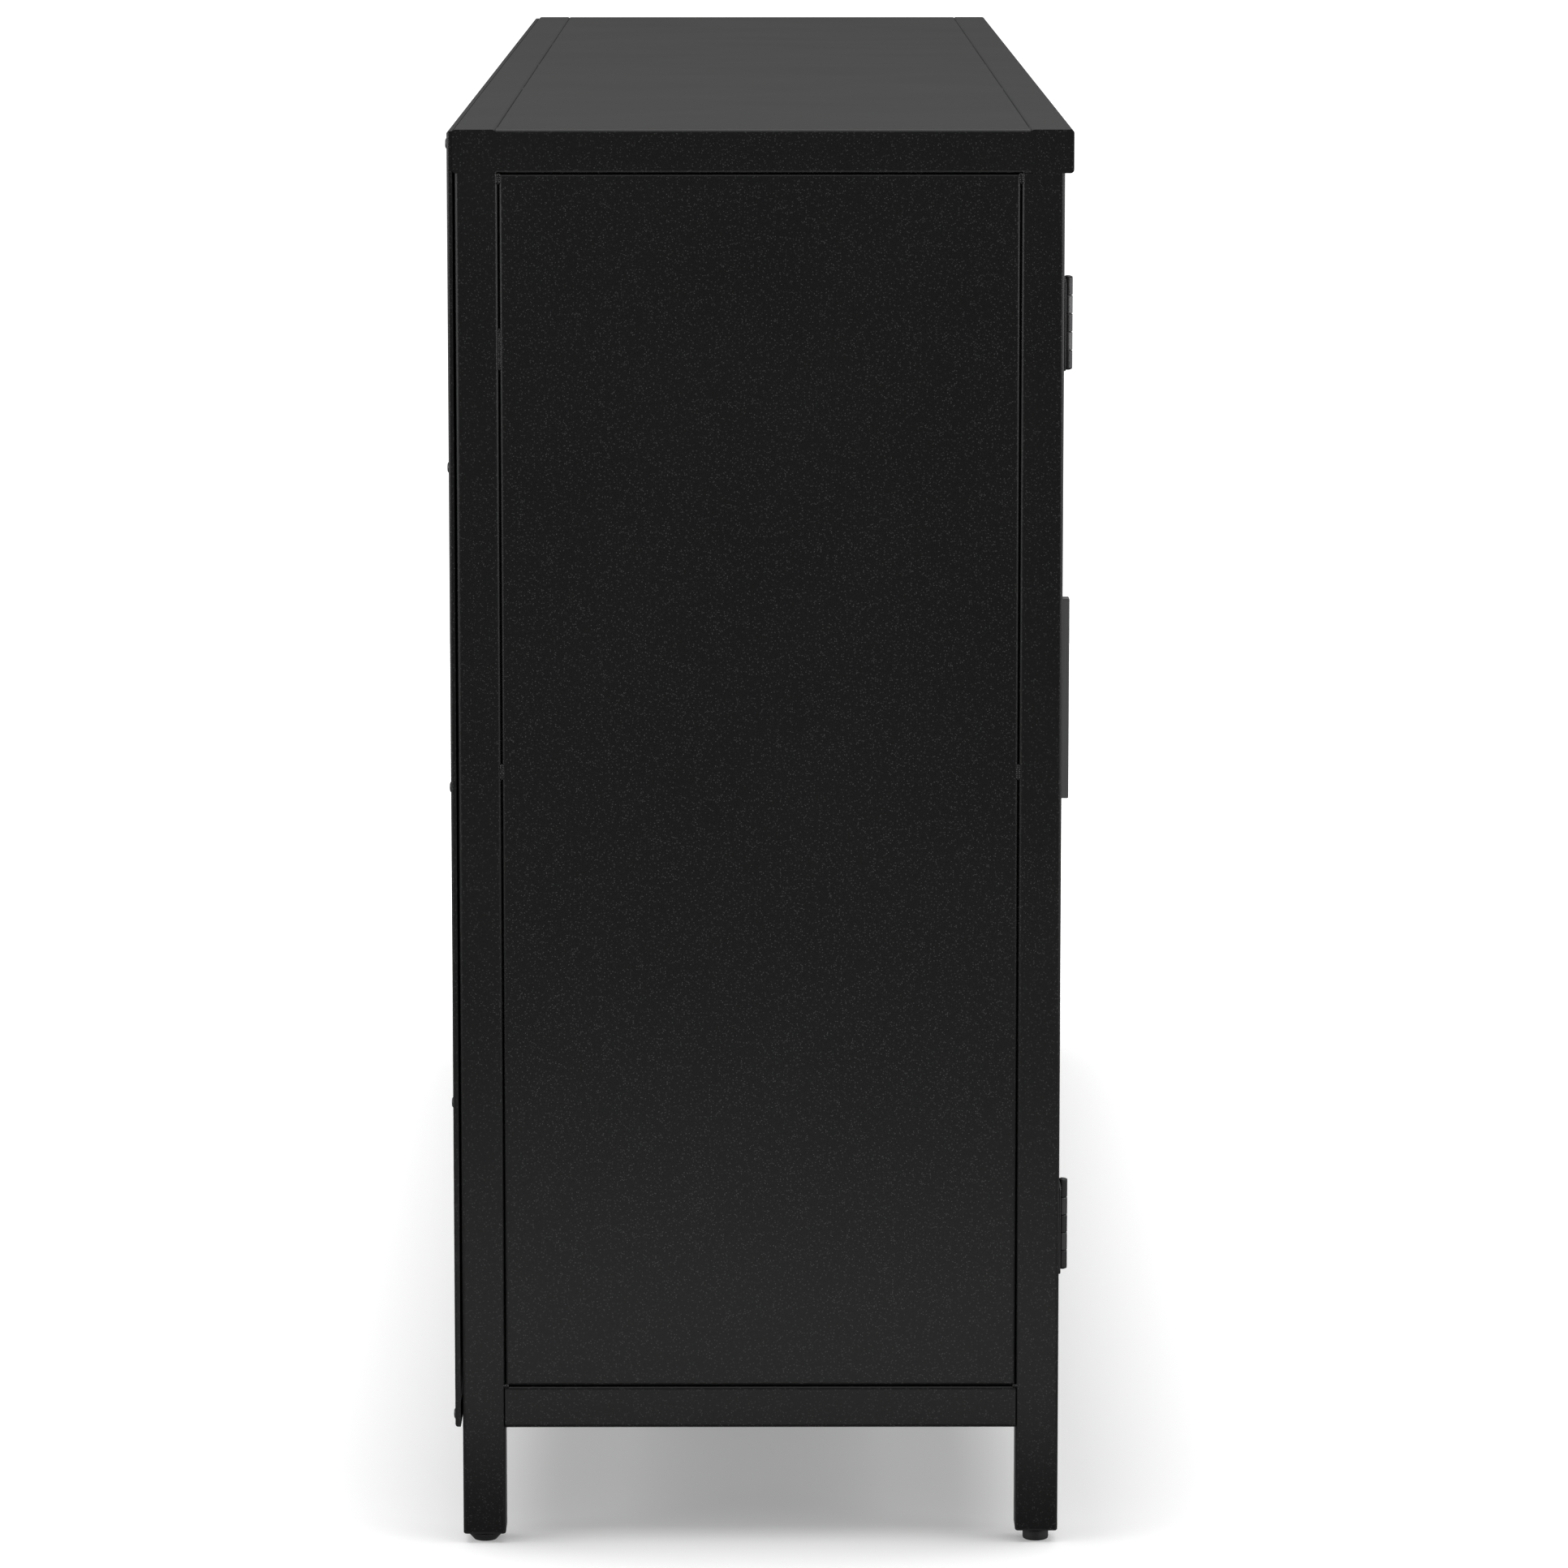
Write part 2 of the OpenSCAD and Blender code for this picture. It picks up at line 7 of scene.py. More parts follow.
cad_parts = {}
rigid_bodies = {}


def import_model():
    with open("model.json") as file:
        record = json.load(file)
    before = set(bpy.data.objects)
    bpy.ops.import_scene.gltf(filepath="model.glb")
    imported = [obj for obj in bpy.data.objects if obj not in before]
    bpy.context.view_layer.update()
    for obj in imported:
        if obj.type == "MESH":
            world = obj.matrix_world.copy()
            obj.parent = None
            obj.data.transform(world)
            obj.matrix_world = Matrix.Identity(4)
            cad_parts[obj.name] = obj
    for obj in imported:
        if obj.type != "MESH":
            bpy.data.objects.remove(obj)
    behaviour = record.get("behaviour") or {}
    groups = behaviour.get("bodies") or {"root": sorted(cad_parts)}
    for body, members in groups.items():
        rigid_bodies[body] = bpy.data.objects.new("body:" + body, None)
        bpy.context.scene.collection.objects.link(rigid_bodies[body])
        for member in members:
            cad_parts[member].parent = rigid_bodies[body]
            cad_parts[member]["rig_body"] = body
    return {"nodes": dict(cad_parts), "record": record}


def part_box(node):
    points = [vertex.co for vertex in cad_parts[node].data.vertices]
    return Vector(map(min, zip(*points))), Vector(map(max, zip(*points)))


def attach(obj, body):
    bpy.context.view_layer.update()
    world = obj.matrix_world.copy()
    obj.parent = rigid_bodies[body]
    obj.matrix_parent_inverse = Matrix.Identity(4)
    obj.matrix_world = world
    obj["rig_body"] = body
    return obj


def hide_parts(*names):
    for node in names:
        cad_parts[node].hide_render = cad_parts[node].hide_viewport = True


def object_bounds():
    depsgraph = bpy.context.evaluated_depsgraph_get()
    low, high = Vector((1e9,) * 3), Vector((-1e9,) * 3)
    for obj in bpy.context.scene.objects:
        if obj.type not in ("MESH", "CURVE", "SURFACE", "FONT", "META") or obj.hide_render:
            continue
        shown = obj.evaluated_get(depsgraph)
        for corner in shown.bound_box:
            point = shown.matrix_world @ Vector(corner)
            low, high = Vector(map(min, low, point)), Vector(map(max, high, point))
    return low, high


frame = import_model()
cadLow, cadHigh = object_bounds()
cadNodes = frame["nodes"]
scene = bpy.context.scene
print("frame loaded:", len(cadNodes), "nodes")

cameraValues = {
    "distance": 4.0798,  # metres from the near end of the cabinet
    "across": 0.0084,
    "height": 1.0715,
    "turn": -0.207,  # degrees
    "tilt": 8.525,
    "lens": 160.73,
}


def makeCamera(values):
    data = bpy.data.cameras.new("viewCamera")
    data.lens = values["lens"]
    data.sensor_width = 36
    data.clip_end = 200
    camera = bpy.data.objects.new("viewCamera", data)
    scene.collection.objects.link(camera)
    camera.location = (cadLow[0] - values["distance"], values["across"], values["height"])
    turn, tilt = math.radians(values["turn"]), math.radians(values["tilt"])
    ahead = Vector((math.cos(turn) * math.cos(tilt), math.sin(turn) * math.cos(tilt), -math.sin(tilt)))
    camera.rotation_euler = ahead.to_track_quat("-Z", "Y").to_euler()
    scene.camera = camera


def newMaterial(name):
    material = bpy.data.materials.new(name)
    material.use_nodes = True
    tree = material.node_tree
    return material, tree.nodes, tree.links, tree.nodes["Principled BSDF"]


def newObject(name, mesh):
    piece = bpy.data.objects.new(name, mesh)
    scene.collection.objects.link(piece)
    return piece


def meshFrom(name, build):
    bmesh.ops.recalc_face_normals(build, faces=build.faces)
    mesh = bpy.data.meshes.new(name)
    build.to_mesh(mesh)
    build.free()
    return mesh


def mathNode(nodes, links, operation, first, second):
    node = nodes.new("ShaderNodeMath")
    node.operation = operation
    for socket, value in zip(node.inputs, (first, second)):
        if isinstance(value, (int, float)):
            socket.default_value = value
        else:
            links.new(value, socket)
    return node.outputs[0]


def noiseNode(nodes, links, place, scale, detail):
    noise = nodes.new("ShaderNodeTexNoise")
    noise.inputs["Scale"].default_value = scale
    noise.inputs["Detail"].default_value = detail
    links.new(place, noise.inputs["Vector"])
    return noise.outputs["Fac"]


def rangeNode(nodes, links, value, low, high):
    spread = nodes.new("ShaderNodeMapRange")
    spread.inputs["To Min"].default_value = low
    spread.inputs["To Max"].default_value = high
    links.new(value, spread.inputs["Value"])
    return spread.outputs["Result"]


def bumpNode(nodes, links, height, distance, strength, before=None):
    bump = nodes.new("ShaderNodeBump")
    bump.inputs["Distance"].default_value = distance
    bump.inputs["Strength"].default_value = strength
    links.new(height, bump.inputs["Height"])
    if before:
        links.new(before, bump.inputs["Normal"])
    return bump.outputs["Normal"]


roomValues = {
    "floorRadius": 3.4,
    "floorTone": 0.86,
    "floorGlow": 0.23,  # painted light: the floor's own glow next to the cabinet, which keeps the shadows light
    "farGlow": 1.0,
    "glowReach": 0.35,  # how far from the cabinet the painted glow rises until the floor is plain white, which keeps the painted shadow tight
    "domeRadius": 60,
    "domeGlow": 1.3,
    "cardStart": 0.22,  # pale cards on the floor beyond each end, seen only in the gloss
    "cardReach": 0.95,
    "cardHalf": 0.4,
    "cardLift": 0.0005,
    "cardGlow": 1.05,
    "stripPlace": (-3.6, 2.9),  # tall bright strips, seen only as lines on rounded edges
    "stripWide": 1.1,
    "stripLow": 0.75,
    "stripHigh": 2.5,
    "stripGlow": 10,
    "ambient": 0.19,
}


def glowMaterial(name, strength):
    material = bpy.data.materials.new(name)
    material.use_nodes = True
    nodes = material.node_tree.nodes
    nodes.clear()
    glow = nodes.new("ShaderNodeEmission")
    glow.inputs["Strength"].default_value = strength
    out = nodes.new("ShaderNodeOutputMaterial")
    material.node_tree.links.new(glow.outputs[0], out.inputs["Surface"])
    return material


def glossyOnly(name, build, glow):
    piece = newObject(name, meshFrom(name, build))
    piece.data.materials.append(glowMaterial(name + "White", glow))
    piece.visible_camera = piece.visible_diffuse = False
    piece.visible_transmission = piece.visible_shadow = False
    return piece


def makeFloor(values):
    disc = bmesh.new()
    bmesh.ops.create_circle(disc, cap_ends=True, segments=128, radius=values["floorRadius"])
    floor = newObject("floor", meshFrom("floor", disc))
    material, nodes, links, shader = newMaterial("floorPaint")
    tone = values["floorTone"]
    shader.inputs["Base Color"].default_value = (tone, tone, tone, 1)
    shader.inputs["Roughness"].default_value = 1
    shader.inputs["Specular IOR Level"].default_value = 0
    shader.inputs["Emission Color"].default_value = (1, 1, 1, 1)
    place = nodes.new("ShaderNodeSeparateXYZ")
    links.new(nodes.new("ShaderNodeTexCoord").outputs["Object"], place.inputs["Vector"])
    # painted light and shadow: the floor glows faintly next to the cabinet and fully white from glowReach
    # out, so the shade stays tight around it
    gaps = []
    for axis in (0, 1):
        beyond = mathNode(nodes, links, "ABSOLUTE", place.outputs[axis], 0)
        beyond = mathNode(nodes, links, "SUBTRACT", beyond, cadHigh[axis])
        beyond = mathNode(nodes, links, "MAXIMUM", beyond, 0)
        gaps.append(mathNode(nodes, links, "MULTIPLY", beyond, beyond))
    away = mathNode(nodes, links, "SQRT", mathNode(nodes, links, "ADD", *gaps), 0)
    away = mathNode(nodes, links, "DIVIDE", away, values["glowReach"])
    away = mathNode(nodes, links, "MINIMUM", away, 1)
    glow = rangeNode(nodes, links, away, values["floorGlow"], values["farGlow"])
    links.new(glow, shader.inputs["Emission Strength"])
    floor.data.materials.append(material)
    floor.visible_glossy = False
    return floor


def makeCards(values):
    cards = bmesh.new()
    near, far = cadHigh[0] + values["cardStart"], cadHigh[0] + values["cardReach"]
    half = values["cardHalf"]
    for side in (-1, 1):
        corners = ((near, -half), (far, -half), (far, half), (near, half))
        cards.faces.new([cards.verts.new((side * x, y, values["cardLift"])) for x, y in corners])
    return glossyOnly("floorCard", cards, values["cardGlow"])


def makeStrips(values):
    strips = bmesh.new()
    stripX, stripY = values["stripPlace"]
    half = Vector((stripY, cadLow[0] - stripX, 0)).normalized() * values["stripWide"] / 2
    low, high = Vector((0, 0, values["stripLow"])), Vector((0, 0, values["stripHigh"]))
    for side in (-1, 1):
        middle = Vector((stripX, side * stripY, 0))
        reach = Vector((half.x, side * half.y, 0))
        left, right = middle - reach, middle + reach
        corners = (left + low, right + low, right + high, left + high)
        strips.faces.new([strips.verts.new(corner) for corner in corners])
    return glossyOnly("edgeStrips", strips, values["stripGlow"])


def makeRoom(values):
    floor, card, strip = makeFloor(values), makeCards(values), makeStrips(values)
    ball = bmesh.new()
    bmesh.ops.create_uvsphere(ball, u_segments=48, v_segments=24, radius=values["domeRadius"])
    dome = newObject("dome", meshFrom("dome", ball))
    dome.data.materials.append(glowMaterial("domeWhite", values["domeGlow"]))
    dome.visible_diffuse = dome.visible_glossy = False
    dome.visible_transmission = dome.visible_shadow = False
    world = bpy.data.worlds.new("room")
    scene.world = world
    world.use_nodes = True
    background = world.node_tree.nodes["Background"]
    background.inputs["Color"].default_value = (1, 1, 1, 1)
    background.inputs["Strength"].default_value = values["ambient"]
    scene.view_settings.view_transform = "Standard"


lightValues = {
    "overhead": {"place": (0.2, 0, 4.2), "aim": (0.2, 0, 0), "size": (7, 7), "glow": 1.5},
    "frontSide": {"place": (-0.9, -3.6, 1.35), "aim": (-0.9, 0, 1.35), "size": (5, 2.4), "glow": 2.4},
    "backSide": {"place": (-0.9, 3.6, 1.35), "aim": (-0.9, 0, 1.35), "size": (5, 2.4), "glow": 2.4},
}


def makeLights(values):
    for name, light in values.items():
        data = bpy.data.lights.new(name, "AREA")
        data.shape = "RECTANGLE"
        data.size, data.size_y = light["size"]
        data.energy = light["glow"] * math.pi * data.size * data.size_y  # an even glow, in watts
        lamp = bpy.data.objects.new(name, data)
        lamp.location = light["place"]
        towards = Vector(light["aim"]) - Vector(light["place"])
        lamp.rotation_euler = towards.to_track_quat("-Z", "Y").to_euler()
        lamp.visible_camera = False
        scene.collection.objects.link(lamp)


makeCamera(cameraValues)
makeRoom(roomValues)
makeLights(lightValues)
print("camera, room and lights ready")

paintValues = {
    "dark": 0.0036,
    "fleck": 0.034,
    "fleckShare": 0.28,
    "fleckSize": 0.36,  # of one cell
    "cells": 1000,
    "grit": 900,
    "cloud": 9,
    "roughness": 0.33,
    "roughnessSpread": 0.03,
    "peel": 420,
    "peelDepth": 0.0001,
    "gloss": 0.3,
    "waves": 4,
}
panelWaveDepth = 0.0009


def powderCoat(name, values, waveDepth):
    material, nodes, links, shader = newMaterial(name)
    place = nodes.new("ShaderNodeTexCoord").outputs["Object"]
    cells = nodes.new("ShaderNodeTexVoronoi")  # one cell for each possible fleck of mica
    cells.inputs["Scale"].default_value = values["cells"]
    links.new(place, cells.inputs["Vector"])
    split = nodes.new("ShaderNodeSeparateColor")
    links.new(cells.outputs["Color"], split.inputs[0])
    small = mathNode(nodes, links, "LESS_THAN", cells.outputs["Distance"], values["fleckSize"])
    chosen = mathNode(nodes, links, "LESS_THAN", split.outputs[0], values["fleckShare"])
    fleck = mathNode(nodes, links, "MULTIPLY", small, chosen)
    strength = mathNode(nodes, links, "MULTIPLY", fleck, split.outputs[1])
    cloud = noiseNode(nodes, links, place, values["cloud"], 3)  # the coat is thicker in places
    grit = noiseNode(nodes, links, place, values["grit"], 1)
    wide = rangeNode(nodes, links, cloud, 0.6, 0.9)
    fine = rangeNode(nodes, links, grit, -0.1, 0.6)
    base = mathNode(nodes, links, "ADD", wide, fine)
    shade = mathNode(nodes, links, "MULTIPLY", base, values["dark"])
    mix = nodes.new("ShaderNodeMix")
    mix.data_type = "RGBA"
    mix.inputs["B"].default_value = (values["fleck"], values["fleck"], values["fleck"] * 1.02, 1)
    links.new(strength, mix.inputs["Factor"])
    links.new(shade, mix.inputs["A"])
    links.new(mix.outputs["Result"], shader.inputs["Base Color"])
    spread = values["roughnessSpread"]
    low, high = values["roughness"] - spread, values["roughness"] + spread
    links.new(rangeNode(nodes, links, cloud, low, high), shader.inputs["Roughness"])
    peel = noiseNode(nodes, links, place, values["peel"], 2)  # orange peel of the baked coat
    normal = bumpNode(nodes, links, peel, values["peelDepth"], 0.25)
    if waveDepth:
        wave = noiseNode(nodes, links, place, values["waves"], 1)  # thin sheet never lies quite flat
        normal = bumpNode(nodes, links, wave, waveDepth, 1, normal)
    links.new(normal, shader.inputs["Normal"])
    shader.inputs["Specular IOR Level"].default_value = values["gloss"]
    return material


grainValues = {
    "handle_metal": {
        "colour": (0.2, 0.2, 0.203), "metallic": 1, "roughness": 0.42,
        "grain": 300, "stretch": (1, 1, 0.05), "depth": 0.00002,
    },
    "hinge_metal": {
        "colour": (0.045, 0.045, 0.047), "metallic": 0.9, "roughness": 0.34,
        "grain": 260, "stretch": (1, 1, 0.4), "depth": 0.00003,
    },
    # a brighter copy of the hinge metal: painted sheen for the knuckles
    "worn_knuckle": {
        "colour": (0.085, 0.085, 0.087), "metallic": 1, "roughness": 0.34,
        "grain": 260, "stretch": (1, 1, 0.4), "depth": 0.00003,
    },
    "screw_metal": {
        "colour": (0.05, 0.05, 0.052), "metallic": 0.7, "roughness": 0.36,
        "grain": 800, "stretch": (1, 1, 1), "depth": 0.00001,
    },
    "foot_plastic": {
        "colour": (0.005, 0.005, 0.005), "metallic": 0, "roughness": 0.6,
        "grain": 500, "stretch": (1, 1, 1), "depth": 0.00005,
    },
    "magnet_case": {
        "colour": (0.03, 0.03, 0.031), "metallic": 0, "roughness": 0.48,
        "grain": 600, "stretch": (1, 1, 1), "depth": 0.00004,
    },
}


def grainedFinish(name, values):
    material, nodes, links, shader = newMaterial(name)
    mapping = nodes.new("ShaderNodeMapping")
    mapping.inputs["Scale"].default_value = values["stretch"]
    links.new(nodes.new("ShaderNodeTexCoord").outputs["Object"], mapping.inputs["Vector"])
    place = mapping.outputs["Vector"]
    grain = noiseNode(nodes, links, place, values["grain"], 3)
    patch = noiseNode(nodes, links, place, values["grain"] / 12, 2)
    tone = nodes.new("ShaderNodeMix")
    tone.data_type = "RGBA"
    tone.inputs["A"].default_value = (*(part * 0.75 for part in values["colour"]), 1)
    tone.inputs["B"].default_value = (*(part * 1.25 for part in values["colour"]), 1)
    share = mathNode(nodes, links, "ADD", mathNode(nodes, links, "MULTIPLY", grain, 0.6), 0.2)
    links.new(share, tone.inputs["Factor"])
    links.new(tone.outputs["Result"], shader.inputs["Base Color"])
    low, high = values["roughness"] - 0.09, values["roughness"] + 0.09
    links.new(rangeNode(nodes, links, patch, low, high), shader.inputs["Roughness"])
    links.new(bumpNode(nodes, links, grain, values["depth"], 0.5), shader.inputs["Normal"])
    shader.inputs["Metallic"].default_value = values["metallic"]
    return material


zincValues = {
    "dull": 0.42, "bright": 0.62, "crystal": 55, "roughness": 0.36,
    "scratch": 700, "scratchDepth": 0.00002,
}


def zincFinish(name, values):
    material, nodes, links, shader = newMaterial(name)
    place = nodes.new("ShaderNodeTexCoord").outputs["Object"]
    crystals = nodes.new("ShaderNodeTexVoronoi")  # flower pattern of hot zinc
    crystals.inputs["Scale"].default_value = values["crystal"]
    links.new(place, crystals.inputs["Vector"])
    split = nodes.new("ShaderNodeSeparateColor")
    links.new(crystals.outputs["Color"], split.inputs[0])
    tone = nodes.new("ShaderNodeMix")
    tone.data_type = "RGBA"
    tone.inputs["A"].default_value = (values["dull"], values["dull"], values["dull"] * 1.03, 1)
    tone.inputs["B"].default_value = (values["bright"], values["bright"], values["bright"] * 1.02, 1)
    links.new(split.outputs[0], tone.inputs["Factor"])
    links.new(tone.outputs["Result"], shader.inputs["Base Color"])
    low, high = values["roughness"] - 0.08, values["roughness"] + 0.1
    links.new(rangeNode(nodes, links, split.outputs[1], low, high), shader.inputs["Roughness"])
    scratch = noiseNode(nodes, links, place, values["scratch"], 2)
    normal = bumpNode(nodes, links, scratch, values["scratchDepth"], 0.4)
    links.new(normal, shader.inputs["Normal"])
    shader.inputs["Metallic"].default_value = 1
    return material


finishes = {
    "frame_paint": powderCoat("framePaint", paintValues, 0),
    "panel_paint": powderCoat("panelPaint", paintValues, panelWaveDepth),
    "runner_steel": zincFinish("runnerZinc", zincValues),
}
for slotName, values in grainValues.items():
    finishes[slotName] = grainedFinish(slotName, values)

slotOfNode = {part["node"]: part["material_slot"] for part in frame["record"]["subparts"]}
bodyOfNode = {name: node["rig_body"] for name, node in cadNodes.items()}
for nodeName, node in cadNodes.items():
    for materialSlot in node.material_slots:
        materialSlot.material = finishes[slotOfNode[nodeName]]
print("finishes laid on the CAD nodes")


def smoothShade(mesh, angle=35):
    mesh.shade_smooth()
    mesh.set_sharp_from_angle(angle=math.radians(angle))


def roundEdges(piece, width, segments=2, angle=40):
    bevel = piece.modifiers.new("roundEdges", "BEVEL")
    bevel.width = width
    bevel.segments = segments
    bevel.limit_method = "ANGLE"
    bevel.angle_limit = math.radians(angle)


def mount(piece, body, slotName, *replaced):
    piece.data.materials.clear()
    piece.data.materials.append(finishes[slotName])
    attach(piece, body)
    if replaced:
        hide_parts(*replaced)


def placed(origin, first, second, third):
    return Matrix.Translation(origin) @ Matrix((first, second, third)).transposed().to_4x4()


def arcPoints(centre, radius, start, end, steps):
    turns = [math.radians(start + (end - start) * step / steps) for step in range(steps + 1)]
    return [(centre[0] + radius * math.cos(turn), centre[1] + radius * math.sin(turn)) for turn in turns]


def lathe(build, outline, steps, place=Matrix.Identity(4)):
    rings = []
    for radius, height in outline:  # a radius of 0 closes the shape
        count = steps if radius else 1
        turns = [2 * math.pi * step / steps for step in range(count)]
        ring = [Vector((radius * math.cos(turn), radius * math.sin(turn), height)) for turn in turns]
        rings.append([build.verts.new(place @ point) for point in ring])
    for lower, upper in zip(rings, rings[1:]):
        for step in range(steps):
            after = (step + 1) % steps
            corners = [lower[step % len(lower)], lower[after % len(lower)]]
            corners += [upper[after % len(upper)], upper[step % len(upper)]]
            build.faces.new(list(dict.fromkeys(corners)))


def prism(build, outline, depth, place):
    near = [build.verts.new(place @ Vector((x, y, 0))) for x, y in outline]
    far = [build.verts.new(place @ Vector((x, y, depth))) for x, y in outline]
    build.faces.new(list(reversed(near)))
    build.faces.new(far)
    for index in range(len(outline)):
        after = (index + 1) % len(outline)
        build.faces.new((near[index], near[after], far[after], far[index]))


# Trees that repeat a small shape, on loose points or along a seam

treeInputs = {
    "Shape": "NodeSocketObject",
    "Across": "NodeSocketFloat",
    "Height": "NodeSocketFloat",
    "Spread": "NodeSocketFloat",  # how much one differs from the next
    "Spacing": "NodeSocketFloat",  # along a seam; loose points ignore it
    "Seed": "NodeSocketInt",
    "Finish": "NodeSocketMaterial",
}


def socketOf(sockets, name, kind):
    return next(socket for socket in sockets if socket.name == name and socket.type == kind)


def repeatTree(name, alongSeam):
    tree = bpy.data.node_groups.new(name, "GeometryNodeTree")
    tree.interface.new_socket(name="Places", in_out="INPUT", socket_type="NodeSocketGeometry")
    for inputName, kind in treeInputs.items():
        tree.interface.new_socket(name=inputName, in_out="INPUT", socket_type=kind)
    tree.interface.new_socket(name="Pieces", in_out="OUTPUT", socket_type="NodeSocketGeometry")
    nodes, link = tree.nodes, tree.links.new
    given = nodes.new("NodeGroupInput").outputs
    places = given["Places"]
    if alongSeam:
        curve = nodes.new("GeometryNodeMeshToCurve")
        link(places, curve.inputs["Mesh"])
        resample = nodes.new("GeometryNodeResampleCurve")
        resample.mode = "LENGTH"
        link(curve.outputs["Curve"], resample.inputs["Curve"])
        link(given["Spacing"], resample.inputs["Length"])
        places = resample.outputs["Curve"]
    facing = nodes.new("GeometryNodeInputNamedAttribute")
    facing.data_type = "FLOAT_VECTOR"
    facing.inputs["Name"].default_value = "facing"
    stand = nodes.new("FunctionNodeAlignRotationToVector")
    stand.axis = "Z"
    link(facing.outputs["Attribute"], stand.inputs["Vector"])
    turn = nodes.new("FunctionNodeRandomValue")
    socketOf(turn.inputs, "Max", "VALUE").default_value = 2 * math.pi
    link(given["Seed"], turn.inputs["Seed"])
    twist = nodes.new("ShaderNodeCombineXYZ")
    link(socketOf(turn.outputs, "Value", "VALUE"), twist.inputs["Z"])
    asRotation = nodes.new("FunctionNodeEulerToRotation")
    link(twist.outputs[0], asRotation.inputs[0])
    spin = nodes.new("FunctionNodeRotateRotation")
    spin.rotation_space = "LOCAL"
    link(stand.outputs["Rotation"], spin.inputs["Rotation"])
    link(asRotation.outputs[0], spin.inputs["Rotate By"])
    size = nodes.new("FunctionNodeRandomValue")
    link(mathNode(nodes, tree.links, "SUBTRACT", 1, given["Spread"]), socketOf(size.inputs, "Min", "VALUE"))
    link(mathNode(nodes, tree.links, "ADD", 1, given["Spread"]), socketOf(size.inputs, "Max", "VALUE"))
    link(given["Seed"], size.inputs["Seed"])
    sizes = nodes.new("ShaderNodeCombineXYZ")
    link(given["Across"], sizes.inputs["X"])
    link(given["Across"], sizes.inputs["Y"])
    link(given["Height"], sizes.inputs["Z"])
    scaled = nodes.new("ShaderNodeVectorMath")
    scaled.operation = "SCALE"
    link(sizes.outputs[0], scaled.inputs[0])
    link(socketOf(size.outputs, "Value", "VALUE"), scaled.inputs["Scale"])
    shape = nodes.new("GeometryNodeObjectInfo")
    link(given["Shape"], shape.inputs["Object"])
    setPieces = nodes.new("GeometryNodeInstanceOnPoints")
    link(places, setPieces.inputs["Points"])
    link(shape.outputs["Geometry"], setPieces.inputs["Instance"])
    link(spin.outputs["Rotation"], setPieces.inputs["Rotation"])
    link(scaled.outputs["Vector"], setPieces.inputs["Scale"])
    real = nodes.new("GeometryNodeRealizeInstances")
    link(setPieces.outputs["Instances"], real.inputs[0])
    paint = nodes.new("GeometryNodeSetMaterial")
    link(real.outputs[0], paint.inputs["Geometry"])
    link(given["Finish"], paint.inputs["Material"])
    out = nodes.new("NodeGroupOutput")
    link(paint.outputs["Geometry"], out.inputs[0])
    return tree


pointTree = repeatTree("shapesOnPoints", False)
seamTree = repeatTree("beadsAlongSeam", True)


def repeatPiece(name, tree, points, edges, settings, body, slotName, *replaced):
    base = bpy.data.meshes.new(name + "Places")
    base.from_pydata([place for place, facing in points], edges, [])
    facings = base.attributes.new("facing", "FLOAT_VECTOR", "POINT")
    for index, (place, facing) in enumerate(points):
        facings.data[index].vector = facing
    carrier = newObject(name + "Places", base)
    modifier = carrier.modifiers.new("repeat", "NODES")
    modifier.node_group = tree
    settings = dict(settings, Finish=finishes[slotName])
    for socket in tree.interface.items_tree:
        if socket.in_out == "INPUT" and socket.name in settings:
            modifier[socket.identifier] = settings[socket.name]
    evaluated = carrier.evaluated_get(bpy.context.evaluated_depsgraph_get())
    piece = newObject(name, bpy.data.meshes.new_from_object(evaluated))
    bpy.data.objects.remove(carrier)
    smoothShade(piece.data)
    mount(piece, body, slotName, *replaced)
    return piece


def evenSettings(shapeName, values, spread=0.0):
    return {
        "Shape": shapes[shapeName], "Across": values["across"], "Height": values["height"],
        "Spread": spread, "Seed": values["seed"],
    }


def panHeadShape():
    head = bmesh.new()
    outline = [(0, -0.2), (0.5, -0.2), (0.5, 0.25), (0.485, 0.5)]
    outline += [(0.43, 0.75), (0.33, 0.92), (0.18, 1), (0, 1)]
    lathe(head, outline, 28)
    shape = newObject("panHeadShape", meshFrom("panHeadShape", head))
    cross = bmesh.new()
    arm = [(0.06, 0), (0.48, 0), (0.48, 0.12), (0.06, 0.12)]
    for turn, nudge in ((0, 0), (90, 0.0009)):  # the nudge keeps the arms' faces from coinciding
        place = Matrix.Rotation(math.radians(turn), 4, "Z") @ Matrix.Translation((-0.27, -0.06 + nudge, 0.35))
        prism(cross, arm, 1, place)
    cutter = newObject("crossCutter", meshFrom("crossCutter", cross))
    cut = shape.modifiers.new("cut", "BOOLEAN")
    cut.object = cutter
    cut.use_self = True
    evaluated = shape.evaluated_get(bpy.context.evaluated_depsgraph_get())
    finished = bpy.data.meshes.new_from_object(evaluated)
    shape.modifiers.clear()
    shape.data = finished
    bpy.data.objects.remove(cutter)
    return shape


def turnedShape(name, outline, steps):
    build = bmesh.new()
    lathe(build, outline, steps)
    return newObject(name, meshFrom(name, build))


def beadShape():
    build = bmesh.new()
    bmesh.ops.create_icosphere(build, subdivisions=2, radius=0.5)
    return newObject("beadShape", meshFrom("beadShape", build))


rivetOutline = [(0, -0.1), (0.5, -0.1), (0.5, 0.1), (0.44, 0.45), (0.3, 0.8), (0.14, 0.97), (0, 1)]
spotOutline = [(0, -0.4), (0.5, -0.4), (0.5, 0.1), (0.42, 0.9), (0.33, 1), (0.24, 0.75), (0, 0.5)]
shapes = {
    "panHead": panHeadShape(),
    "rivet": turnedShape("rivetShape", rivetOutline, 16),
    "spot": turnedShape("spotShape", spotOutline, 14),
    "bead": beadShape(),
}
print("small shapes and their trees ready")

